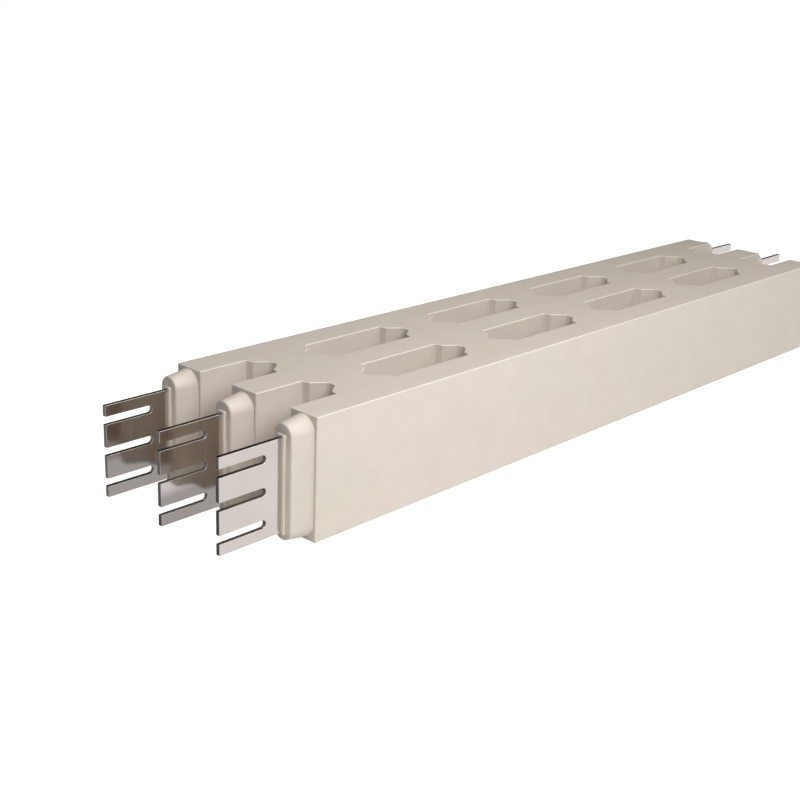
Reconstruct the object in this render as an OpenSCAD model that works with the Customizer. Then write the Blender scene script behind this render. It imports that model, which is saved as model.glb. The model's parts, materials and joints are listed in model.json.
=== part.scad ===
// Cast-resin busway section: three flat tinned-copper busbars on edge, cast into one
// mineral-filled resin body with two rows of open ventilation slots between the phases.
// Origin: bottom centre of the whole. +X along the length, +Y across the phases, +Z up.

/* [Resin body] */
// Height of the casting
body_h = 214; // [180:1:260]
// Width of the resin around each phase
leg_w = 62; // [56:1:80]
// Clear width of the ventilation slots between two phases
gap_w = 82; // [60:1:110]
// Spacing of the ventilation slots along the length
slot_pitch = 331; // [310:1:380]
// Number of slot spacings in the length of the casting
pitches = 5; // [2:1:6]
// Length of casting past the middle of the first and last slots
end_reach = 2.5; // [0:0.5:10]

/* [Ventilation slots] */
// Half length of the straight sides of a slot, from its middle
straight_half = 96.5; // [80:0.5:100]
// Step inward at each end of the straight sides
shoulder = 14.4; // [8:0.1:17]
// Run of the shoulder step along the length
shoulder_run = 4.2; // [2:0.1:8]
// Half length of a slot, from its middle to the tip of its nose
nose_half = 125.5; // [120:0.5:135]
// Width of the nose, before its corners are rounded
nose_w = 16; // [14:1:24]
// Radius that rounds the nose
nose_r = 12; // [6:1:14]
// Radius in the corners where the straight sides end
slot_r = 4; // [2:0.5:5]
// Radius on the teeth that the shoulders leave beside the nose
tooth_r = 3; // [2:0.5:5]

/* [End bosses] */
// Length of the tapered boss that the busbar leaves through
boss_len = 43; // [30:1:60]
// Width of the boss where it meets the leg
boss_base_w = 52; // [46:1:56]
// Width of the boss at its outer face
boss_tip_w = 40; // [34:1:46]
// Height of the boss where it meets the leg
boss_base_h = 208; // [198:1:209]
// Height of the boss's middle above the middle of the casting
boss_rise = 1; // [0:0.5:2]
// How much lower the boss of the middle phase sits
mid_boss_drop = 3.5; // [0:0.5:3.5]
// Radius on the rim of the outer face
boss_rim_r = 4; // [3:0.5:6]
// Length of the raised collar around the busbar
lip_h = 5; // [2:0.5:8]
// Thickness of the collar on each side of the busbar
lip_w = 4.5; // [3:0.5:5]
// Corner radius of the collar
lip_r = 3; // [1:0.5:3.5]

/* [Busbars] */
// Height of a busbar, set on edge
bar_h = 160; // [120:1:170]
// Thickness of a busbar
bar_t = 8; // [5:0.5:12]
// Length of busbar that stands out past each end face of the casting
bar_out = 170; // [140:1:220]
// Height of the busbar's lower edge above the foot of the casting
bar_z0 = 25; // [22:1:30]
// How much lower the busbar of the middle phase sits
mid_bar_drop = 2; // [0:0.5:4]

/* [Joint slots] */
// Width of the open-ended joint slots in the busbar ends
joint_w = 14; // [11:0.5:18]
// Length of a joint slot, from the bar's end to its round inner end
joint_len = 91; // [70:1:110]
// Spacing of the three joint slots up the bar
joint_pitch = 54; // [48:0.5:57]

/* [Hidden] */
$fn = 96;
// Reach past a face that a cut starts from
over = 1;
// Phase spacing, centre to centre
phase_pitch = leg_w + gap_w;
// Full width and length of the casting
body_w = 3 * leg_w + 2 * gap_w;
body_len = pitches * slot_pitch + 2 * end_reach;
// Slot half widths at the sides, behind the shoulder and at the nose
side_y = gap_w / 2;
neck_y = side_y - shoulder;
nose_y = nose_w / 2;
// Boss arc centres, above and below the middle of the casting
boss_arc_z = (boss_base_h - boss_base_w) / 2;
// Middle of the busbar's height
bar_zc = bar_z0 + bar_h / 2;
bar_len = body_len + 2 * bar_out;
// Drop of a phase's boss and busbar: only the middle phase, 0, sits lower
function boss_drop(phase) = phase == 0 ? mid_boss_drop : 0;
function bar_drop(phase) = phase == 0 ? mid_bar_drop : 0;
resin = [0.80, 0.75, 0.69];
tin = [0.80, 0.80, 0.79];

// Unit vector from a to b
function unit(a, b) = (b - a) / norm(b - a);
// Turn at corner b on the way from a to c, positive to the left
function turn(a, b, c) = (b[0] - a[0]) * (c[1] - b[1]) - (b[1] - a[1]) * (c[0] - b[0]);
// Distance from corner b to the points where an arc of radius r meets its two sides
function setback(a, b, c, r) =
    let (u = unit(b, a), v = unit(b, c), half = acos(u * v) / 2) r / tan(half);
// Centre of the arc that rounds corner b
function arc_centre(a, b, c, r) =
    let (u = unit(b, a), v = unit(b, c), half = acos(u * v) / 2)
    b + unit([0, 0], u + v) * r / sin(half);

// A closed outline, walked to the left, with each corner rounded by a true arc of its own radius
module rounded_outline(pts, radii) {
    n = len(pts);
    prev = [for (i = [0 : n - 1]) pts[(i + n - 1) % n]];
    next = [for (i = [0 : n - 1]) pts[(i + 1) % n]];
    difference() {
        union() {
            polygon([
                for (i = [0 : n - 1])
                    let (s = setback(prev[i], pts[i], next[i], radii[i]))
                        for (k = [0, 1])
                            pts[i] + s * unit(pts[i], k == 0 ? prev[i] : next[i])
            ]);
            for (i = [0 : n - 1])
                if (turn(prev[i], pts[i], next[i]) > 0)
                    translate(arc_centre(prev[i], pts[i], next[i], radii[i])) circle(r = radii[i]);
        }
        for (i = [0 : n - 1])
            if (turn(prev[i], pts[i], next[i]) < 0)
                translate(arc_centre(prev[i], pts[i], next[i], radii[i])) circle(r = radii[i]);
    }
}

// Right half of a slot's outline: side, shoulder, nose, shoulder, side, walked to the left
half_slot = [
    [straight_half, -side_y],
    [straight_half + shoulder_run, -neck_y],
    [nose_half, -nose_y],
    [nose_half, nose_y],
    [straight_half + shoulder_run, neck_y],
    [straight_half, side_y]
];
half_radii = [slot_r, tooth_r, nose_r, nose_r, tooth_r, slot_r];

// Plan of one ventilation slot: straight sides, with a shoulder and a tapered nose at each end
module slot_plan() {
    rounded_outline(concat(half_slot, -half_slot), concat(half_radii, half_radii));
}

// The two rows of slots; the first and last of each row are cut in half by the end faces
module vent_slots() {
    for (row = [-0.5, 0.5], i = [0 : pitches])
        translate([(i - pitches / 2) * slot_pitch, row * phase_pitch, -over])
            linear_extrude(height = body_h + 2 * over) slot_plan();
}

// Half section of the boss, from its axis to its tapered side, with a rounded rim
module boss_profile() {
    base_r = boss_base_w / 2;
    tip_r = boss_tip_w / 2;
    foot = [base_r, 0];
    rim = [tip_r, boss_len];
    inner = [0, boss_len];
    s = setback(foot, rim, inner, boss_rim_r);
    union() {
        polygon([[0, -over], [base_r, -over], foot, rim + s * unit(rim, foot),
            rim + s * unit(rim, inner), inner]);
        translate(arc_centre(foot, rim, inner, boss_rim_r)) circle(r = boss_rim_r);
    }
}

// Tapered stadium boss, standing up from the leg's end face along +Z
module boss_solid() {
    for (s = [-1, 1])
        translate([s * boss_arc_z, 0, 0]) rotate_extrude() boss_profile();
    translate([-boss_arc_z, 0, 0]) rotate([90, 0, 90])
        linear_extrude(height = 2 * boss_arc_z)
            for (m = [0, 1]) mirror([m, 0]) boss_profile();
}

// Raised collar that the busbar leaves through
module collar_solid() {
    u = bar_h / 2 + lip_w;
    v = bar_t / 2 + lip_w;
    translate([0, 0, -over]) linear_extrude(height = lip_h + over)
        rounded_outline([[u, -v], [u, v], [-u, v], [-u, -v]], [lip_r, lip_r, lip_r, lip_r]);
}

// One boss with its collar, on the +X end face of a phase
module end_boss(phase) {
    translate([body_len / 2, phase * phase_pitch, body_h / 2 + boss_rise - boss_drop(phase)])
        rotate([0, 90, 0]) boss_solid();
    translate([body_len / 2 + boss_len, phase * phase_pitch, bar_zc - bar_drop(phase)])
        rotate([0, 90, 0]) collar_solid();
}

// The full bar of a phase, before its ends are slotted
module bar_blank(phase) {
    translate([-bar_len / 2, phase * phase_pitch - bar_t / 2, bar_z0 - bar_drop(phase)])
        cube([bar_len, bar_t, bar_h]);
}

// One open-ended joint slot at the +X end
module joint_slot() {
    length = joint_len - joint_w / 2;
    rotate([90, 0, 0]) translate([0, 0, -bar_t / 2 - over])
        linear_extrude(height = bar_t + 2 * over) {
            translate([bar_len / 2 - length, 0]) circle(d = joint_w);
            translate([bar_len / 2 - length, -joint_w / 2]) square([length + over, joint_w]);
        }
}

// One busbar, through the whole casting, with a four-finger fork at each end
module busbar(phase) {
    color(tin) difference() {
        bar_blank(phase);
        for (m = [0, 1], k = [-1 : 1])
            mirror([m, 0, 0])
                translate([0, phase * phase_pitch, bar_zc - bar_drop(phase) + k * joint_pitch])
                    joint_slot();
    }
}

module resin_body() {
    color(resin) difference() {
        union() {
            difference() {
                translate([-body_len / 2, -body_w / 2, 0]) cube([body_len, body_w, body_h]);
                vent_slots();
            }
            for (m = [0, 1], phase = [-1 : 1]) mirror([m, 0, 0]) end_boss(phase);
        }
        for (phase = [-1 : 1]) bar_blank(phase);
    }
}

module busbar_l1() {
    busbar(1);
}

module busbar_l2() {
    busbar(0);
}

module busbar_l3() {
    busbar(-1);
}

resin_body();
busbar_l1();
busbar_l2();
busbar_l3();
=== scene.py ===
"""Busway section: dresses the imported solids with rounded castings, bright bars and a studio."""
import json
import math

import bpy
from mathutils import Euler, Matrix, Vector

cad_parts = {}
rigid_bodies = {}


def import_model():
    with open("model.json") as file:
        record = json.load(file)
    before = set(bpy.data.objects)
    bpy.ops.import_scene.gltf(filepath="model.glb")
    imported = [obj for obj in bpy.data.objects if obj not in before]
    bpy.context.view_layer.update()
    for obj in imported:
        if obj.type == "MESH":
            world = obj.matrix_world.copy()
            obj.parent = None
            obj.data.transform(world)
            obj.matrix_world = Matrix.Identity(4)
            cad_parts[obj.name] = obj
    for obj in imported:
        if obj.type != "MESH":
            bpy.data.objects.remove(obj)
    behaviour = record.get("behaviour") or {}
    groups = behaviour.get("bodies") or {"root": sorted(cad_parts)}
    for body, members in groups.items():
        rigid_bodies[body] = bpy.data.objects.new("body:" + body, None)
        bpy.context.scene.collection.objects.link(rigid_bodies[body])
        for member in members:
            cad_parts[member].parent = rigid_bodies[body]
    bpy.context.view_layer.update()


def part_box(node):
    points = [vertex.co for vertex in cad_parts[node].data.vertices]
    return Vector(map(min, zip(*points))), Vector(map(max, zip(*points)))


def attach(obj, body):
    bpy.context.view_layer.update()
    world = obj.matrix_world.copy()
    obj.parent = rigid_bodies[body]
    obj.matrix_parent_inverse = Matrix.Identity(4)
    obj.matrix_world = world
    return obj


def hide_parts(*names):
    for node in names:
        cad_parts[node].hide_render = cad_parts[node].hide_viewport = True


bl_info = {
    "name": "Busway section",
    "version": (1, 0, 0),
    "blender": (4, 5, 0),
    "location": "3D View > Sidebar > Busway",
    "description": "Cast-resin busway section with three fork-ended busbars",
    "category": "Object",
}

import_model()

CAST_LOW, CAST_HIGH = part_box("resin_body")
BAR_LOW, BAR_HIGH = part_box("busbar_l2")
OUTER_BAR_LOW, OUTER_BAR_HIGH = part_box("busbar_l3")

# Sizes of the solids, in metres
SLOT_PITCH = 0.331
SLOTS_PER_ROW = 4
END_REACH = 0.0025
LEG_WIDTH = 0.062
GAP_WIDTH = 0.082
PHASE_PITCH = LEG_WIDTH + GAP_WIDTH
CAST_LENGTH = 5 * SLOT_PITCH + 2 * END_REACH
CAST_WIDTH = CAST_HIGH.y - CAST_LOW.y
CAST_HEIGHT = CAST_HIGH.z - CAST_LOW.z
STRAIGHT_HALF = 0.0965
SHOULDER_STEP = 0.0144
SHOULDER_RUN = 0.0042
NOSE_HALF = 0.1255
NOSE_WIDTH = 0.016
NOSE_RADIUS = 0.012
SLOT_RADIUS = 0.004
TOOTH_RADIUS = 0.003
BOSS_LENGTH = 0.043
BOSS_BASE = 0.052
BOSS_TIP = 0.040
BOSS_HEIGHT = 0.208
BOSS_RIM = 0.0033
BOSS_RISE = 0.001
MIDDLE_BOSS_DROP = 0.0035
COLLAR_LENGTH = 0.005
COLLAR_WALL = 0.0045
COLLAR_CORNER = 0.003
BAR_HEIGHT = BAR_HIGH.z - BAR_LOW.z
BAR_THICK = BAR_HIGH.y - BAR_LOW.y
BAR_HALF = BAR_HIGH.x
BAR_MIDDLE = (OUTER_BAR_LOW.z + OUTER_BAR_HIGH.z) / 2
MIDDLE_BAR_DROP = OUTER_BAR_LOW.z - BAR_LOW.z
JOINT_WIDTH = 0.014
JOINT_LENGTH = 0.091
JOINT_PITCH = 0.054
BUSBARS = ("busbar_l1", "busbar_l2", "busbar_l3")
# Points closer than this are one point, and rims closer than the weld are joined
SAME_POINT = 0.00001
WELD = 0.00002
# How far the boss sinks into the leg, and the collar into the boss
BOSS_SINK = 0.002
COLLAR_SINK = 0.001


# ---- Outlines -------------------------------------------------------------

def rounded_loop(corners, arc_step=math.radians(6)):
    """Outline with rounded corners, walked to the left, from (x, y, radius) corners."""
    out = []
    count = len(corners)
    for i, (x, y, radius) in enumerate(corners):
        here = Vector((x, y))
        if radius <= 0:
            out.append(here)
            continue
        back = (Vector(corners[i - 1][:2]) - here).normalized()
        ahead = (Vector(corners[(i + 1) % count][:2]) - here).normalized()
        half = back.angle(ahead) / 2
        centre = here + (back + ahead).normalized() * radius / math.sin(half)
        start = here + back * radius / math.tan(half) - centre
        end = here + ahead * radius / math.tan(half) - centre
        sweep = math.atan2(start.x * end.y - start.y * end.x, start.dot(end))
        steps = max(2, math.ceil(abs(sweep) / arc_step))
        for k in range(steps + 1):
            a = sweep * k / steps
            turned = Vector((
                start.x * math.cos(a) - start.y * math.sin(a),
                start.x * math.sin(a) + start.y * math.cos(a),
            ))
            spot = centre + turned
            if not out or (spot - out[-1]).length > SAME_POINT:
                out.append(spot)
    if (out[0] - out[-1]).length < SAME_POINT:
        out.pop()
    return out


def half_slot(side=1):
    """Corners of one end of a slot centred on the origin, from one side to the other."""
    gap, neck, nose = GAP_WIDTH / 2, GAP_WIDTH / 2 - SHOULDER_STEP, NOSE_WIDTH / 2
    run = [
        (STRAIGHT_HALF, -gap, SLOT_RADIUS),
        (STRAIGHT_HALF + SHOULDER_RUN, -neck, TOOTH_RADIUS),
        (NOSE_HALF, -nose, NOSE_RADIUS),
        (NOSE_HALF, nose, NOSE_RADIUS),
        (STRAIGHT_HALF + SHOULDER_RUN, neck, TOOTH_RADIUS),
        (STRAIGHT_HALF, gap, SLOT_RADIUS),
    ]
    return [(side * x, side * y, r) for x, y, r in run]


def slot_outline():
    """A whole slot about the origin, walked to the right so that it reads as a hole."""
    return rounded_loop(half_slot() + half_slot(-1))[::-1]


def cast_outline(edge):
    """Outer outline of the casting, with the half slots cut into both end faces."""
    end, width = CAST_LENGTH / 2, CAST_WIDTH / 2
    inner = end - END_REACH
    loop = []
    for side in (1, -1):
        loop.append((side * end, -side * width, edge))
        for row in (-0.5, 0.5):
            middle = side * row * PHASE_PITCH
            gap = GAP_WIDTH / 2
            loop.append((side * end, middle - side * gap, edge))
            for x, y, r in half_slot(-1)[::-1]:
                loop.append((side * (inner + x), middle + side * y, r))
            loop.append((side * end, middle + side * gap, edge))
        loop.append((side * end, side * width, edge))
    return rounded_loop(loop)


def stadium(radius, reach):
    """Stadium outline, long along X, with its arc centres at plus and minus reach."""
    return rounded_loop([
        (reach + radius, -radius, radius), (reach + radius, radius, radius),
        (-reach - radius, radius, radius), (-reach - radius, -radius, radius),
    ], math.radians(5))


def fork_outline(edge):
    """Busbar seen from its side: four fingers at each end, centred on the origin."""
    high, half = BAR_HEIGHT / 2, JOINT_WIDTH / 2
    loop = []
    for side in (1, -1):
        loop.append((side * BAR_HALF, -side * high, edge))
        for k in (-1, 0, 1):
            z = side * k * JOINT_PITCH
            inner = BAR_HALF - JOINT_LENGTH
            loop += [
                (side * BAR_HALF, z - side * half, edge),
                (side * inner, z - side * half, half * 0.999),
                (side * inner, z + side * half, half * 0.999),
                (side * BAR_HALF, z + side * half, edge),
            ]
        loop.append((side * BAR_HALF, side * high, edge))
    return rounded_loop(loop)


# ---- Geometry Nodes -------------------------------------------------------

class Tree:
    """A small builder for geometry node trees with named inputs."""

    def __init__(self, name):
        self.tree = bpy.data.node_groups.new(name, "GeometryNodeTree")
        self.tree.is_modifier = True
        self.ids = {}
        self.add_socket("Geometry", "NodeSocketGeometry", "OUTPUT")
        self.source = self.node("NodeGroupInput")

    def add_socket(self, name, kind, way="INPUT"):
        item = self.tree.interface.new_socket(name=name, in_out=way, socket_type=kind)
        if way == "INPUT":
            self.ids[name] = item.identifier

    def node(self, kind, **settings):
        made = self.tree.nodes.new(kind)
        for key, value in settings.items():
            setattr(made, key, value)
        return made

    def feed(self, target, values):
        """Sets or links a node's inputs, by name or by position."""
        for key, value in values.items():
            socket = target.inputs[key]
            if isinstance(value, bpy.types.NodeSocket):
                self.tree.links.new(value, socket)
            else:
                socket.default_value = value
        return target

    def make(self, kind, values, **settings):
        return self.feed(self.node(kind, **settings), values)

    def math(self, operation, a, b):
        made = self.node("ShaderNodeMath", operation=operation)
        self.feed(made, {0: a, 1: b})
        return made.outputs[0]

    def given(self, name):
        return self.source.outputs[name]

    def finish(self, geometry):
        real = self.make("GeometryNodeRealizeInstances", {"Geometry": geometry})
        paint = self.make("GeometryNodeSetMaterial", {
            "Geometry": real.outputs["Geometry"], "Material": self.given("Material"),
        })
        target = self.node("NodeGroupOutput")
        self.tree.links.new(paint.outputs["Geometry"], target.inputs["Geometry"])
        return self.tree


def swept_solid_tree():
    """Sweeps a wall profile round closed outlines and closes it with flat caps."""
    t = Tree("Swept_solid")
    t.add_socket("Outline", "NodeSocketObject")
    t.add_socket("Hole", "NodeSocketObject")
    t.add_socket("Holes Per Row", "NodeSocketInt")
    t.add_socket("Hole Spacing", "NodeSocketFloat")
    t.add_socket("Row Spacing", "NodeSocketFloat")
    t.add_socket("Wall", "NodeSocketObject")
    t.add_socket("Base", "NodeSocketFloat")
    t.add_socket("Top", "NodeSocketFloat")
    t.add_socket("Material", "NodeSocketMaterial")
    outline = t.make("GeometryNodeObjectInfo", {"Object": t.given("Outline")})
    hole = t.make("GeometryNodeObjectInfo", {"Object": t.given("Hole")})
    wall = t.make("GeometryNodeObjectInfo", {"Object": t.given("Wall")})

    # Two rows of holes on a grid of points
    steps = t.math("SUBTRACT", t.given("Holes Per Row"), 1.0)
    span = t.math("MULTIPLY", steps, t.given("Hole Spacing"))
    grid = t.make("GeometryNodeMeshGrid", {
        "Size X": span, "Size Y": t.given("Row Spacing"),
        "Vertices X": t.given("Holes Per Row"), "Vertices Y": 2,
    })
    rows = t.make("GeometryNodeInstanceOnPoints", {
        "Points": grid.outputs["Mesh"], "Instance": hole.outputs["Geometry"],
    })
    loose = t.make("GeometryNodeRealizeInstances", {"Geometry": rows.outputs["Instances"]})
    paths = t.make("GeometryNodeJoinGeometry", {})
    t.tree.links.new(loose.outputs["Geometry"], paths.inputs["Geometry"])
    t.tree.links.new(outline.outputs["Geometry"], paths.inputs["Geometry"])
    upright = t.make("GeometryNodeSetCurveNormal", {"Curve": paths.outputs["Geometry"]},
                     mode="Z_UP")
    swept = t.make("GeometryNodeCurveToMesh", {
        "Curve": upright.outputs["Curve"], "Profile Curve": wall.outputs["Geometry"],
        "Fill Caps": False,
    })

    skin = t.make("GeometryNodeFlipFaces", {"Mesh": swept.outputs["Mesh"]})

    # The wall's open rims become the edges of the flat caps
    place = t.node("GeometryNodeInputPosition")
    apart = t.make("ShaderNodeSeparateXYZ", {"Vector": place.outputs["Position"]})
    middle = t.math("MULTIPLY", t.math("ADD", t.given("Base"), t.given("Top")), 0.5)
    above = t.make("FunctionNodeCompare", {0: apart.outputs["Z"], 1: middle},
                   data_type="FLOAT", operation="GREATER_THAN")
    faces = t.node("GeometryNodeInputMeshEdgeNeighbors")
    rim = t.make("FunctionNodeCompare", {2: faces.outputs["Face Count"], 3: 1},
                 data_type="INT", operation="EQUAL")
    parts = [skin.outputs["Mesh"]]
    for level, flip in (("Top", False), ("Base", True)):
        side = above.outputs["Result"]
        if flip:
            side = t.make("FunctionNodeBooleanMath", {0: side}, operation="NOT").outputs[0]
        pick = t.make("FunctionNodeBooleanMath", {0: rim.outputs["Result"], 1: side},
                      operation="AND")
        edge = t.make("GeometryNodeMeshToCurve", {
            "Mesh": swept.outputs["Mesh"], "Selection": pick.outputs[0],
        })
        cap = t.make("GeometryNodeFillCurve", {"Curve": edge.outputs["Curve"]})
        lift = t.make("ShaderNodeCombineXYZ", {"Z": t.given(level)})
        moved = t.make("GeometryNodeTransform", {
            "Geometry": cap.outputs["Mesh"], "Translation": lift.outputs["Vector"],
        })
        face = moved.outputs["Geometry"]
        if flip:
            face = t.make("GeometryNodeFlipFaces", {"Mesh": face}).outputs["Mesh"]
        parts.append(face)
    whole = t.make("GeometryNodeJoinGeometry", {})
    for part in parts:
        t.tree.links.new(part, whole.inputs["Geometry"])
    welded = t.make("GeometryNodeMergeByDistance", {
        "Geometry": whole.outputs["Geometry"], "Distance": WELD,
    })
    return t.finish(welded.outputs["Geometry"]), t.ids


TREES = {}


def curve_of(name, loops, cyclic=True):
    """A poly curve in the XY plane from lists of points."""
    data = bpy.data.curves.new(name, "CURVE")
    data.dimensions = "3D"
    for loop in loops:
        spline = data.splines.new("POLY")
        spline.points.add(len(loop) - 1)
        for point, place in zip(spline.points, loop):
            point.co = (place[0], place[1], 0.0, 1.0)
        spline.use_cyclic_u = cyclic
    made = bpy.data.objects.new(name, data)
    bpy.context.scene.collection.objects.link(made)
    return made


def evaluate(name, tree, ids, values, helpers):
    """Runs a tree once on an empty mesh and returns the result as a plain mesh."""
    host = bpy.data.objects.new(name + "_host", bpy.data.meshes.new(name + "_host"))
    bpy.context.scene.collection.objects.link(host)
    modifier = host.modifiers.new("Shape", "NODES")
    modifier.node_group = tree
    for key, value in values.items():
        modifier[ids[key]] = value
    bpy.context.view_layer.update()
    depsgraph = bpy.context.evaluated_depsgraph_get()
    mesh = bpy.data.meshes.new_from_object(host.evaluated_get(depsgraph))
    mesh.name = name
    host.modifiers.remove(modifier)
    for used in [host] + helpers:
        bpy.data.objects.remove(used)
    return mesh


def swept_solid(name, outline, wall, base, top, material, hole=None, per_row=1, spacing=0.1,
                row_spacing=0.1):
    """One solid from an outline, an open wall profile (inset, height) and two caps."""
    if "sweep" not in TREES:
        TREES["sweep"] = swept_solid_tree()
    tree, ids = TREES["sweep"]
    helpers = [
        curve_of(name + "_outline", [outline]),
        curve_of(name + "_wall", [[(-inset, -height) for inset, height in wall]], cyclic=False),
        curve_of(name + "_hole", [hole] if hole else []),
    ]
    return evaluate(name, tree, ids, {
        "Outline": helpers[0], "Wall": helpers[1], "Hole": helpers[2],
        "Holes Per Row": per_row, "Hole Spacing": spacing, "Row Spacing": row_spacing,
        "Base": base, "Top": top, "Material": material,
    }, helpers)


def end_set_tree():
    """Joins a slab with a boss and a bar collar on every phase, at both ends."""
    t = Tree("End_set")
    for name in ("Slab", "Boss", "Collar"):
        t.add_socket(name, "NodeSocketObject")
    for name in ("End Distance", "Phase Pitch", "Boss Height", "Boss Drop", "Collar Height",
                 "Collar Drop"):
        t.add_socket(name, "NodeSocketFloat")
    t.add_socket("Material", "NodeSocketMaterial")
    slab = t.make("GeometryNodeObjectInfo", {"Object": t.given("Slab")})
    grid = t.make("GeometryNodeMeshGrid", {
        "Size X": t.math("MULTIPLY", t.given("End Distance"), 2.0),
        "Size Y": t.math("MULTIPLY", t.given("Phase Pitch"), 2.0),
        "Vertices X": 2, "Vertices Y": 3,
    })
    place = t.node("GeometryNodeInputPosition")
    apart = t.make("ShaderNodeSeparateXYZ", {"Vector": place.outputs["Position"]})
    outer = t.math("DIVIDE", t.math("ABSOLUTE", apart.outputs["Y"], 0.0), t.given("Phase Pitch"))
    inner = t.math("SUBTRACT", 1.0, outer)
    far = t.math("GREATER_THAN", apart.outputs["X"], 0.0)
    turn = t.make("ShaderNodeCombineXYZ", {
        "Y": math.radians(-90), "Z": t.math("MULTIPLY", far, math.pi),
    })
    whole = t.make("GeometryNodeJoinGeometry", {})
    t.tree.links.new(slab.outputs["Geometry"], whole.inputs["Geometry"])
    for name in ("Boss", "Collar"):
        fitting = t.make("GeometryNodeObjectInfo", {"Object": t.given(name)})
        drop = t.math("MULTIPLY", inner, t.given(name + " Drop"))
        lift = t.make("ShaderNodeCombineXYZ", {
            "Z": t.math("SUBTRACT", t.given(name + " Height"), drop),
        })
        raised = t.make("GeometryNodeSetPosition", {
            "Geometry": grid.outputs["Mesh"], "Offset": lift.outputs["Vector"],
        })
        copies = t.make("GeometryNodeInstanceOnPoints", {
            "Points": raised.outputs["Geometry"], "Instance": fitting.outputs["Geometry"],
            "Rotation": turn.outputs["Vector"],
        })
        t.tree.links.new(copies.outputs["Instances"], whole.inputs["Geometry"])
    return t.finish(whole.outputs["Geometry"]), t.ids


def bead_tree():
    """A round bead that follows drawn paths and swells and wanders a little."""
    t = Tree("Bead")
    t.add_socket("Path", "NodeSocketObject")
    for name in ("Radius", "Swell", "Wander", "Lump Length", "Point Spacing"):
        t.add_socket(name, "NodeSocketFloat")
    t.add_socket("Seed", "NodeSocketFloat")
    t.add_socket("Material", "NodeSocketMaterial")
    path = t.make("GeometryNodeObjectInfo", {"Object": t.given("Path")})
    fine = t.make("GeometryNodeResampleCurve", {
        "Curve": path.outputs["Geometry"], "Length": t.given("Point Spacing"),
    }, mode="LENGTH")
    place = t.node("GeometryNodeInputPosition")
    scale = t.math("DIVIDE", 1.0, t.given("Lump Length"))
    noise = t.make("ShaderNodeTexNoise", {
        "Vector": place.outputs["Position"], "W": t.given("Seed"), "Scale": scale,
        "Detail": 2.0,
    }, noise_dimensions="4D")
    centred = t.make("ShaderNodeVectorMath", {0: noise.outputs["Color"], 1: (0.5, 0.5, 0.5)},
                     operation="SUBTRACT")
    push = t.make("ShaderNodeVectorMath", {
        0: centred.outputs["Vector"], "Scale": t.given("Wander"),
    }, operation="SCALE")
    moved = t.make("GeometryNodeSetPosition", {
        "Geometry": fine.outputs["Curve"], "Offset": push.outputs["Vector"],
    })
    drawn = t.node("GeometryNodeInputRadius")
    lumps = t.math("MULTIPLY", t.math("SUBTRACT", noise.outputs["Fac"], 0.5), t.given("Swell"))
    width = t.math("MULTIPLY", drawn.outputs["Radius"], t.math("ADD", t.given("Radius"), lumps))
    sized = t.make("GeometryNodeSetCurveRadius", {
        "Curve": moved.outputs["Geometry"], "Radius": width,
    })
    ring = t.make("GeometryNodeCurvePrimitiveCircle", {"Resolution": 12, "Radius": 1.0})
    tube = t.make("GeometryNodeCurveToMesh", {
        "Curve": sized.outputs["Curve"], "Profile Curve": ring.outputs["Curve"],
        "Fill Caps": True,
    })
    if "Scale" in tube.inputs:
        t.feed(tube, {"Scale": width})
    return t.finish(tube.outputs["Mesh"]), t.ids


# ---- Finishing meshes -----------------------------------------------------

def smooth_flat_faces(mesh, keep=50):
    """Smooth shading that leaves big flat faces flat, written into the mesh."""
    mesh.polygons.foreach_set("use_smooth", [True] * len(mesh.polygons))
    mesh.set_sharp_from_angle(angle=math.radians(keep))
    host = bpy.data.objects.new(mesh.name + "_smooth", mesh)
    bpy.context.scene.collection.objects.link(host)
    weigh = host.modifiers.new("Weigh", "WEIGHTED_NORMAL")
    weigh.keep_sharp = True
    weigh.weight = 100
    bpy.context.view_layer.update()
    done = bpy.data.meshes.new_from_object(
        host.evaluated_get(bpy.context.evaluated_depsgraph_get()))
    bpy.data.objects.remove(host)
    return done


def add_piece(name, mesh, node=None):
    """Puts a finished mesh into the scene as a piece of the object."""
    made = bpy.data.objects.new(name, mesh)
    mesh.name = name
    bpy.context.scene.collection.objects.link(made)
    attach(made, "root")
    if node:
        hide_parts(node)
    return made


def shell(name, outline, wall, material):
    """A swept solid from an outline and a wall that starts and ends at its own heights."""
    return swept_solid(name, outline, wall, wall[0][1], wall[-1][1], material)


# ---- Materials ------------------------------------------------------------

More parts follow.
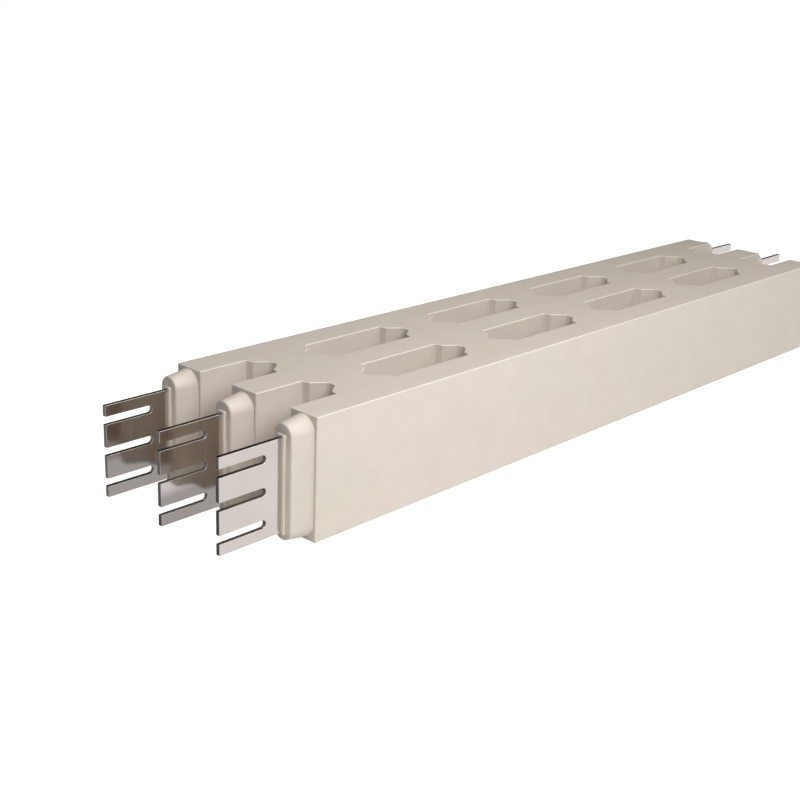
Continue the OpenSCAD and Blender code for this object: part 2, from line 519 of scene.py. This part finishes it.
class Shader:
    """A small builder for object-space materials with a Principled surface."""

    def __init__(self, name):
        self.material = bpy.data.materials.new(name)
        self.material.use_nodes = True
        self.nodes = self.material.node_tree.nodes
        self.links = self.material.node_tree.links
        self.surface = self.nodes["Principled BSDF"]
        self.coords = self.nodes.new("ShaderNodeTexCoord").outputs["Object"]

    def node(self, kind, values=None, **settings):
        made = self.nodes.new(kind)
        for key, value in settings.items():
            setattr(made, key, value)
        for key, value in (values or {}).items():
            self.put(made.inputs[key], value)
        return made

    def put(self, socket, value):
        if isinstance(value, bpy.types.NodeSocket):
            self.links.new(value, socket)
        else:
            socket.default_value = value

    def set(self, **values):
        for key, value in values.items():
            self.put(self.surface.inputs[key.replace("_", " ")], value)

    def stretched(self, scale):
        """Object coordinates scaled differently along each axis."""
        made = self.node("ShaderNodeMapping", {"Vector": self.coords, "Scale": scale})
        return made.outputs["Vector"]

    def noise(self, scale, detail=2.0, roughness=0.5, vector=None, distortion=0.0):
        made = self.node("ShaderNodeTexNoise", {
            "Vector": vector or self.coords, "Scale": scale, "Detail": detail,
            "Roughness": roughness, "Distortion": distortion,
        })
        return made.outputs["Fac"]

    def span(self, value, low, high, start=0.0, end=1.0):
        """Stretches a value from one range to another, held at both ends."""
        made = self.node("ShaderNodeMapRange", {
            "Value": value, "From Min": start, "From Max": end, "To Min": low, "To Max": high,
        })
        return made.outputs["Result"]

    def mix(self, amount, first, second, blend="MIX"):
        made = self.node("ShaderNodeMix", data_type="RGBA", blend_type=blend)
        for key, value in ((0, amount), (6, first), (7, second)):
            if isinstance(value, tuple) and len(value) == 3:
                value = (*value, 1.0)
            self.put(made.inputs[key], value)
        return made.outputs[2]

    def bump(self, height, distance, strength=1.0, normal=None):
        made = self.node("ShaderNodeBump", {
            "Height": height, "Distance": distance, "Strength": strength,
        })
        if normal:
            self.put(made.inputs["Normal"], normal)
        return made.outputs["Normal"]


def shade(colour, factor):
    """A colour made lighter or darker."""
    return tuple(part * factor for part in colour)


def cast_resin(name, colour, warm, speckle, painted_edge_highlight):
    """Mineral-filled casting resin: soft mottling, fine filler grain, and a painted highlight on
    the rounded edges of the top face.
    """
    s = Shader(name)
    mottle = s.span(s.noise(5.5, 3.0, 0.55, distortion=0.4), 0.0, 1.0, 0.34, 0.66)
    base = s.mix(mottle, tuple(colour), tuple(warm))
    cloud = s.span(s.noise(26.0, 4.0, 0.6), 0.0, 1.0, 0.3, 0.7)
    base = s.mix(cloud, base, s.mix(0.5, base, shade(colour, 0.9)))
    grain = s.node("ShaderNodeTexVoronoi", {"Vector": s.coords, "Scale": 620.0})
    dots = s.span(grain.outputs["Distance"], 1.0, 0.0, 0.08, 0.22)
    rare = s.span(s.noise(310.0, 1.0), 0.0, speckle, 0.52, 0.66)
    spots = s.node("ShaderNodeMath", {0: dots, 1: rare}, operation="MULTIPLY").outputs[0]
    base = s.mix(spots, base, shade(colour, 0.62))
    # The rounded edges of the top face are painted paler: a painted highlight where these rims
    # catch the light
    upright = s.node("ShaderNodeSeparateXYZ", {
        "Vector": s.node("ShaderNodeTexCoord").outputs["Normal"],
    }).outputs["Z"]
    height = s.node("ShaderNodeSeparateXYZ", {"Vector": s.coords}).outputs["Z"]
    turned = s.span(upright, 1.0, 0.0, 0.86, 0.99)
    near_top = s.span(height, 0.0, painted_edge_highlight, CAST_HEIGHT - 0.0018, CAST_HEIGHT - 0.0010)
    edges = s.node("ShaderNodeMath", {0: turned, 1: near_top}, operation="MULTIPLY").outputs[0]
    base = s.mix(edges, base, (0.90, 0.87, 0.83))
    skin = s.noise(90.0, 3.0, 0.5)
    fine = s.noise(900.0, 2.0, 0.5)
    s.set(
        Base_Color=base,
        Roughness=s.span(skin, 0.36, 0.52),
        Specular_IOR_Level=0.45,
        Normal=s.bump(fine, 0.00005, 0.35, s.bump(skin, 0.00035, 0.35)),
    )
    return s.material


def tinned_copper(name, colour, roughness, painted_dark_edge):
    """Bright tin plate: faint drawing lines, a slight wave, and narrow faces painted near-black
    as a painted dark reflection.
    """
    s = Shader(name)
    lines = s.noise(1.0, 4.0, 0.6, s.stretched((6.0, 260.0, 1100.0)))
    cloud = s.span(s.noise(14.0, 3.0, 0.6), 0.0, 1.0, 0.32, 0.68)
    base = s.mix(cloud, tuple(colour), shade(colour, 0.93))
    base = s.mix(s.span(lines, 0.0, 0.16, 0.35, 0.75), base, shade(colour, 0.84))
    # Faces turned away from the broad sides (top, bottom, ends and fork slots) are painted
    # near-black: a painted dark reflection of the surroundings
    facing = s.node("ShaderNodeSeparateXYZ", {
        "Vector": s.node("ShaderNodeTexCoord").outputs["Normal"],
    }).outputs["Y"]
    broad = s.node("ShaderNodeMath", {0: facing}, operation="ABSOLUTE").outputs[0]
    narrow_faces = s.span(broad, 1.0, 0.0, 0.06, 0.45)
    tear = s.span(s.noise(1.0, 3.0, 0.6, s.stretched((300.0, 900.0, 120.0))), 0.82, 1.0,
                  0.3, 0.7)
    painted_dark_mask = s.node("ShaderNodeMath", {0: narrow_faces, 1: tear}, operation="MULTIPLY").outputs[0]
    base = s.mix(painted_dark_mask, base, tuple(painted_dark_edge))
    rough = s.node("ShaderNodeMath", {
        0: s.span(lines, roughness * 0.75, roughness * 1.35),
        1: s.span(painted_dark_mask, 0.0, 0.22),
    }, operation="ADD").outputs[0]
    wave = s.noise(1.0, 1.0, 0.4, s.stretched((9.0, 9.0, 22.0)))
    s.set(
        Base_Color=base, Metallic=1.0, Roughness=rough,
        Normal=s.bump(lines, 0.00004, 0.06, s.bump(wave, 0.0012, 0.35)),
    )
    return s.material


def sealing_resin(name, colour):
    """Unfilled resin squeezed out round the bars: glossier, with small pits."""
    s = Shader(name)
    tone = s.span(s.noise(180.0, 3.0, 0.6), 0.0, 1.0, 0.35, 0.7)
    pits = s.noise(700.0, 2.0, 0.5)
    s.set(
        Base_Color=s.mix(tone, tuple(colour), shade(colour, 0.72)),
        Roughness=s.span(pits, 0.22, 0.42),
        Normal=s.bump(pits, 0.0002, 0.5),
    )
    return s.material


def studio_floor(name, colour, glow, mirrored):
    """White paper floor: keeps a soft shadow near the object; in reflections it glows evenly,
    with painted shade between the bars.
    """
    s = Shader(name)
    path = s.node("ShaderNodeLightPath")
    shiny = s.node("ShaderNodeMath", {
        0: path.outputs["Is Glossy Ray"], 1: path.outputs["Is Transmission Ray"],
    }, operation="MAXIMUM").outputs[0]
    away = s.node("ShaderNodeVectorMath", {0: s.coords}, operation="LENGTH").outputs["Value"]
    direct = s.node("ShaderNodeMath", {
        0: s.span(away, glow, 1.0, 1.3, 2.6), 1: path.outputs["Is Camera Ray"],
    }, operation="MULTIPLY").outputs[0]
    # In the bars' reflections the paper between them is painted at half light: a painted shade
    # for the shade it lies in
    aside = s.node("ShaderNodeSeparateXYZ", {"Vector": s.coords}).outputs["Y"]
    aside = s.node("ShaderNodeMath", {0: aside}, operation="ABSOLUTE").outputs[0]
    reflected_glow_with_painted_shade = s.span(aside, mirrored * 0.5, mirrored, PHASE_PITCH * 0.9, PHASE_PITCH * 1.2)
    glow_shiny = s.node("ShaderNodeMath", {0: shiny, 1: reflected_glow_with_painted_shade}, operation="MULTIPLY")
    light = s.node("ShaderNodeMath", {0: direct, 1: glow_shiny.outputs[0]},
                   operation="MAXIMUM").outputs[0]
    fibre = s.span(s.noise(40.0, 4.0, 0.6), 0.0, 1.0, 0.3, 0.7)
    paper = s.mix(fibre, tuple(colour), shade(colour, 0.985))
    s.set(
        Base_Color=s.mix(shiny, paper, (0.0, 0.0, 0.0)), Roughness=0.9,
        Specular_IOR_Level=0.0, Emission_Color=(1.0, 1.0, 1.0, 1.0), Emission_Strength=light,
    )
    return s.material


def dark_board(name, colour):
    """Dull dark board that the bright bars mirror along their edges."""
    s = Shader(name)
    weave = s.noise(60.0, 3.0, 0.6)
    s.set(Base_Color=s.mix(weave, tuple(colour), shade(colour, 0.6)), Roughness=0.95,
          Specular_IOR_Level=0.0)
    return s.material


# ---- Settings -------------------------------------------------------------

def colour_setting(name, about, value):
    return bpy.props.FloatVectorProperty(
        name=name, description=about, default=value, subtype="COLOR", size=3, min=0.0, max=1.0)


def length_setting(name, about, value, most):
    return bpy.props.FloatProperty(
        name=name, description=about, default=value, min=0.0, max=most,
        subtype="DISTANCE", unit="LENGTH", precision=5)


class BuswayCastingSettings(bpy.types.PropertyGroup):
    edge: length_setting("Edge radius", "Rounding of the edges of the casting", 0.0016, 0.003)
    colour: colour_setting("Resin colour", "Main colour of the resin", (0.72, 0.645, 0.585))
    warm: colour_setting("Warm tint", "Colour of the yellower patches", (0.72, 0.66, 0.575))
    speckle: bpy.props.FloatProperty(
        name="Filler speckle", description="Strength of the filler grains in the skin",
        default=0.55, min=0.0, max=1.0, subtype="FACTOR")
    # Strength of the painted highlight on the rounded edges of the top face
    painted_edge_highlight: bpy.props.FloatProperty(
        name="Painted edge highlight", description="How pale the rounded edges of the top face are",
        default=0.5, min=0.0, max=1.0, subtype="FACTOR")


class BuswayBarSettings(bpy.types.PropertyGroup):
    edge: length_setting("Edge radius", "Rounding of the edges of the bars", 0.0005, 0.002)
    colour: colour_setting("Tin colour", "Colour of the tin plating", (0.735, 0.675, 0.64))
    # Near-black colour painted on the narrow faces of the bars, a painted dark reflection
    painted_dark_edge: colour_setting("Painted dark edge colour", "Colour of the sheared end faces",
                           (0.05, 0.042, 0.036))
    roughness: bpy.props.FloatProperty(
        name="Plate roughness", description="Roughness of the tin plating",
        default=0.10, min=0.0, max=1.0, subtype="FACTOR")


class BuswaySealantSettings(bpy.types.PropertyGroup):
    radius: length_setting("Bead radius", "Mean radius of the squeezed-out bead", 0.0018, 0.005)
    seed: bpy.props.FloatProperty(
        name="Bead seed", description="Picks another run of lumps", default=4.0)
    colour: colour_setting("Sealing resin", "Colour of the sealing resin", (0.66, 0.58, 0.51))


class BuswayStudioSettings(bpy.types.PropertyGroup):
    key: bpy.props.FloatProperty(
        name="Main light", description="Power of the main soft box in watts",
        default=23.5, min=0.0, soft_max=500.0)
    fill: bpy.props.FloatProperty(
        name="Right light", description="Power of the soft box on the right in watts",
        default=15.5, min=0.0, soft_max=500.0)
    overhead: bpy.props.FloatProperty(
        name="Overhead light", description="Power of the overhead soft box in watts",
        default=12.0, min=0.0, soft_max=500.0)
    sky: bpy.props.FloatProperty(
        name="Room light", description="Strength of the even light from all round",
        default=0.05, min=0.0, soft_max=2.0)
    floor: colour_setting("Floor colour", "Colour of the floor", (0.80, 0.80, 0.80))
    floor_glow: bpy.props.FloatProperty(
        name="Floor white", description="How far the floor is lifted to white near the object",
        default=0.87, min=0.0, max=1.0, subtype="FACTOR")
    floor_mirrored: bpy.props.FloatProperty(
        name="Floor in reflections", description="How bright the bars mirror the floor",
        default=0.94, min=0.0, max=1.0, subtype="FACTOR")
    lens: bpy.props.FloatProperty(
        name="Lens", description="Focal length of the camera", default=55.909, min=10.0,
        subtype="DISTANCE_CAMERA", unit="CAMERA")


# ---- Operators ------------------------------------------------------------

def tapered_boss():
    """Tapered boss about its own axis, with the leg face at height zero."""
    taper = (BOSS_BASE - BOSS_TIP) / 2
    flank = rounded_loop([
        (0.0, 0.0, 0), (taper, BOSS_LENGTH, BOSS_RIM), (taper + 0.008, BOSS_LENGTH, 0),
    ], math.radians(15))
    wall = [(0.0, -BOSS_SINK)] + [tuple(point) for point in flank]
    return shell("boss", stadium(BOSS_BASE / 2, (BOSS_HEIGHT - BOSS_BASE) / 2), wall, None)


def bar_collar():
    """Raised collar round a busbar, about the bar's own axis."""
    long, wide = BAR_HEIGHT / 2 + COLLAR_WALL, BAR_THICK / 2 + COLLAR_WALL
    ring = rounded_loop([
        (x * long, y * wide, COLLAR_CORNER) for x, y in ((1, -1), (1, 1), (-1, 1), (-1, -1))
    ], math.radians(15))
    end = BOSS_LENGTH + COLLAR_LENGTH
    lip = rounded_loop([
        (0.0, BOSS_LENGTH - COLLAR_SINK, 0), (0.0, end, 0.0012), (0.0025, end, 0),
    ], math.radians(30))
    return shell("collar", ring, [tuple(point) for point in lip], None)


def rounded_wall(height, edge):
    """Open wall profile (inset, height) with the same rounding at its foot and its top."""
    inset = edge * 1.12
    return [tuple(point) for point in rounded_loop([
        (inset, 0.0, 0), (0.0, 0.0, edge), (0.0, height, edge), (inset, height, 0),
    ], math.radians(22.5))]


def holder(name, mesh):
    """A helper object that carries one mesh."""
    made = bpy.data.objects.new(name, mesh)
    bpy.context.scene.collection.objects.link(made)
    return made


class BUSWAY_OT_casting(bpy.types.Operator):
    """Build the slotted resin casting with its bosses and bar collars"""
    bl_idname = "busway.casting"
    bl_label = "Casting"
    bl_options = {"REGISTER", "UNDO"}

    def execute(self, context):
        settings = context.scene.busway_casting
        resin = cast_resin("Cast_resin", settings.colour, settings.warm, settings.speckle,
                           settings.painted_edge_highlight)
        slab = swept_solid(
            "slab", cast_outline(settings.edge * 1.3), rounded_wall(CAST_HEIGHT, settings.edge),
            0.0, CAST_HEIGHT, resin, hole=slot_outline(), per_row=SLOTS_PER_ROW,
            spacing=SLOT_PITCH, row_spacing=PHASE_PITCH)
        helpers = [holder("slab_part", slab), holder("boss_part", tapered_boss()),
                   holder("collar_part", bar_collar())]
        tree, ids = end_set_tree()
        mesh = evaluate("Resin_casting", tree, ids, {
            "Slab": helpers[0], "Boss": helpers[1], "Collar": helpers[2],
            "End Distance": CAST_LENGTH / 2, "Phase Pitch": PHASE_PITCH,
            "Boss Height": CAST_HEIGHT / 2 + BOSS_RISE, "Boss Drop": MIDDLE_BOSS_DROP,
            "Collar Height": BAR_MIDDLE, "Collar Drop": MIDDLE_BAR_DROP, "Material": resin,
        }, helpers)
        add_piece("Resin_casting", smooth_flat_faces(mesh), "resin_body")
        return {"FINISHED"}


class BUSWAY_OT_busbars(bpy.types.Operator):
    """Build the three tinned busbars with their forked ends"""
    bl_idname = "busway.busbars"
    bl_label = "Busbars"
    bl_options = {"REGISTER", "UNDO"}

    def execute(self, context):
        settings = context.scene.busway_bars
        tin = tinned_copper("Tinned_copper", settings.colour, settings.roughness,
                            settings.painted_dark_edge)
        for node in BUSBARS:
            low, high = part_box(node)
            flat = swept_solid(
                node + "_bar", fork_outline(settings.edge * 1.3),
                rounded_wall(BAR_THICK, settings.edge), 0.0, BAR_THICK, tin)
            stand = Matrix.Translation(((low.x + high.x) / 2, high.y, (low.z + high.z) / 2))
            flat.transform(stand @ Matrix.Rotation(math.radians(90), 4, "X"))
            add_piece("Bar_" + node[-2:].upper(), smooth_flat_faces(flat),
                      node)
        return {"FINISHED"}


class BUSWAY_OT_sealant(bpy.types.Operator):
    """Lay the sealing resin that was squeezed out where the bars leave the bosses"""
    bl_idname = "busway.sealant"
    bl_label = "Sealing resin"
    bl_options = {"REGISTER", "UNDO"}

    def execute(self, context):
        settings = context.scene.busway_sealant
        resin = sealing_resin("Sealing_resin", settings.colour)
        tip = -CAST_LENGTH / 2 - BOSS_LENGTH
        side = BAR_THICK / 2 + COLLAR_WALL
        rear, middle = PHASE_PITCH, 0.0
        paths = [
            # A lumpy bead down the front of the rear collar
            ([(tip - 0.001, rear - side - 0.001, OUTER_BAR_HIGH.z - 0.004 - 0.012 * k)
              for k in range(13)], [1.0] * 13),
            # Small drops on top of the rear and the middle bar
            ([(tip - 0.004, rear - 0.001, OUTER_BAR_HIGH.z + z)
              for z in (0.0, 0.003, 0.006, 0.009)], [1.5, 2.0, 1.5, 0.5]),
            ([(tip - 0.004, middle - 0.001, BAR_HIGH.z + z)
              for z in (0.0, 0.003, 0.006, 0.010)], [1.3, 1.8, 1.2, 0.3]),
        ]
        path = drawn_path("bead_path", paths)
        tree, ids = bead_tree()
        mesh = evaluate("Sealing_bead", tree, ids, {
            "Path": path, "Radius": settings.radius, "Swell": 0.0022, "Wander": 0.003,
            "Lump Length": 0.012, "Point Spacing": 0.0015, "Seed": settings.seed,
            "Material": resin,
        }, [path])
        add_piece("Sealing_bead", smooth_flat_faces(mesh, 80))
        return {"FINISHED"}


def drawn_path(name, runs):
    """Poly curve from runs of (places, radii)."""
    data = bpy.data.curves.new(name, "CURVE")
    data.dimensions = "3D"
    for places, radii in runs:
        spline = data.splines.new("POLY")
        spline.points.add(len(places) - 1)
        for point, place, radius in zip(spline.points, places, radii):
            point.co = (*place, 1.0)
            point.radius = radius
    made = bpy.data.objects.new(name, data)
    bpy.context.scene.collection.objects.link(made)
    return made


def soft_box(name, place, target, size, power, tint=(1.0, 1.0, 1.0)):
    """A rectangular area light that looks at a point."""
    data = bpy.data.lights.new(name, "AREA")
    data.shape = "RECTANGLE"
    data.size, data.size_y = size
    data.energy = power
    data.color = tint
    made = bpy.data.objects.new(name, data)
    made.location = place
    made.rotation_euler = (Vector(target) - Vector(place)).to_track_quat("-Z", "Y").to_euler()
    bpy.context.scene.collection.objects.link(made)
    made.visible_camera = False
    return made


def board(name, middle, half_width, low, high, turn, material):
    """An upright board, turned about the vertical, that stands for studio surroundings."""
    data = bpy.data.meshes.new(name)
    along = Vector((math.cos(turn), math.sin(turn), 0.0)) * half_width
    foot = Vector((middle[0], middle[1], 0.0))
    data.from_pydata([
        foot - along + Vector((0, 0, low)), foot + along + Vector((0, 0, low)),
        foot + along + Vector((0, 0, high)), foot - along + Vector((0, 0, high)),
    ], [], [(0, 1, 2, 3)])
    data.materials.append(material)
    made = bpy.data.objects.new(name, data)
    bpy.context.scene.collection.objects.link(made)
    made.visible_camera = False
    made.visible_shadow = False
    made.visible_diffuse = False
    return made


class BUSWAY_OT_studio(bpy.types.Operator):
    """Set the floor, the soft lights and the camera"""
    bl_idname = "busway.studio"
    bl_label = "Studio"
    bl_options = {"REGISTER", "UNDO"}

    def execute(self, context):
        settings = context.scene.busway_studio
        scene = context.scene
        scene.view_settings.view_transform = "Standard"

        floor = bpy.data.meshes.new("Floor")
        reach, level = 14.0, CAST_LOW.z
        floor.from_pydata([
            (-reach, -reach, level), (reach, -reach, level),
            (reach, reach, level), (-reach, reach, level),
        ], [], [(0, 1, 2, 3)])
        floor.materials.append(studio_floor(
            "Floor_paper", settings.floor, settings.floor_glow, settings.floor_mirrored))
        ground = bpy.data.objects.new("Floor", floor)
        scene.collection.objects.link(ground)

        dark = dark_board("Dark_board", (0.015, 0.012, 0.010))
        board("Rear_board", (2.2, 2.2), 4.5, 0.30, 4.5, math.radians(135), dark)

        soft_box("Main_light", (-0.95, -1.25, 1.30), (-0.35, 0.0, 0.12), (1.2, 1.0),
                 settings.key)
        soft_box("Right_light", (1.3, -1.4, 1.3), (0.3, 0.0, 0.10), (1.4, 1.0), settings.fill)
        soft_box("Overhead_light", (-0.1, -0.2, 1.9), (0.0, 0.0, 0.0), (1.8, 1.0),
                 settings.overhead, (1.0, 0.96, 0.90))

        world = bpy.data.worlds.new("Studio_room")
        scene.world = world
        world.use_nodes = True
        nodes, links = world.node_tree.nodes, world.node_tree.links
        back = nodes["Background"]
        path = nodes.new("ShaderNodeLightPath")
        seen = path.outputs["Is Camera Ray"]
        for ray in ("Is Glossy Ray", "Is Transmission Ray"):
            pair = nodes.new("ShaderNodeMath")
            pair.operation = "MAXIMUM"
            links.new(seen, pair.inputs[0])
            links.new(path.outputs[ray], pair.inputs[1])
            seen = pair.outputs[0]
        strength = nodes.new("ShaderNodeMapRange")
        strength.inputs["To Min"].default_value = settings.sky
        strength.inputs["To Max"].default_value = 1.0
        links.new(seen, strength.inputs["Value"])
        links.new(strength.outputs["Result"], back.inputs["Strength"])
        back.inputs["Color"].default_value = (1.0, 1.0, 1.0, 1.0)

        data = bpy.data.cameras.new("Camera")
        data.lens = settings.lens
        data.sensor_width = 36.0
        data.clip_start, data.clip_end = 0.05, 100.0
        camera = bpy.data.objects.new("Camera", data)
        camera.location = (-2.0546, -1.4723, 0.8816)
        camera.rotation_euler = Euler(
            [math.radians(a) for a in (70.3966, -2.3291, -46.5445)], "XYZ")
        scene.collection.objects.link(camera)
        scene.camera = camera
        return {"FINISHED"}


# ---- Panel and registration -----------------------------------------------

class BUSWAY_PT_panel(bpy.types.Panel):
    """Lists the pieces of the busway section with their settings"""
    bl_idname = "BUSWAY_PT_panel"
    bl_label = "Busway section"
    bl_space_type = "VIEW_3D"
    bl_region_type = "UI"
    bl_category = "Busway"

    def draw(self, context):
        for operator, group in STEPS:
            box = self.layout.box()
            settings = getattr(context.scene, group)
            for key in settings.__annotations__:
                box.prop(settings, key)
            box.operator("busway." + operator)


STEPS = (
    ("casting", "busway_casting"),
    ("busbars", "busway_bars"),
    ("sealant", "busway_sealant"),
    ("studio", "busway_studio"),
)

GROUPS = {
    "busway_casting": BuswayCastingSettings,
    "busway_bars": BuswayBarSettings,
    "busway_sealant": BuswaySealantSettings,
    "busway_studio": BuswayStudioSettings,
}

CLASSES = (
    *GROUPS.values(),
    BUSWAY_OT_casting, BUSWAY_OT_busbars, BUSWAY_OT_sealant, BUSWAY_OT_studio,
    BUSWAY_PT_panel,
)


def register():
    for cls in CLASSES:
        bpy.utils.register_class(cls)
    for name, group in GROUPS.items():
        setattr(bpy.types.Scene, name, bpy.props.PointerProperty(type=group))


def unregister():
    for name in GROUPS:
        delattr(bpy.types.Scene, name)
    for cls in reversed(CLASSES):
        bpy.utils.unregister_class(cls)


def main():
    register()
    for operator, _ in STEPS:
        getattr(bpy.ops.busway, operator)()
    bpy.context.view_layer.update()


if __name__ == "__main__":
    main()
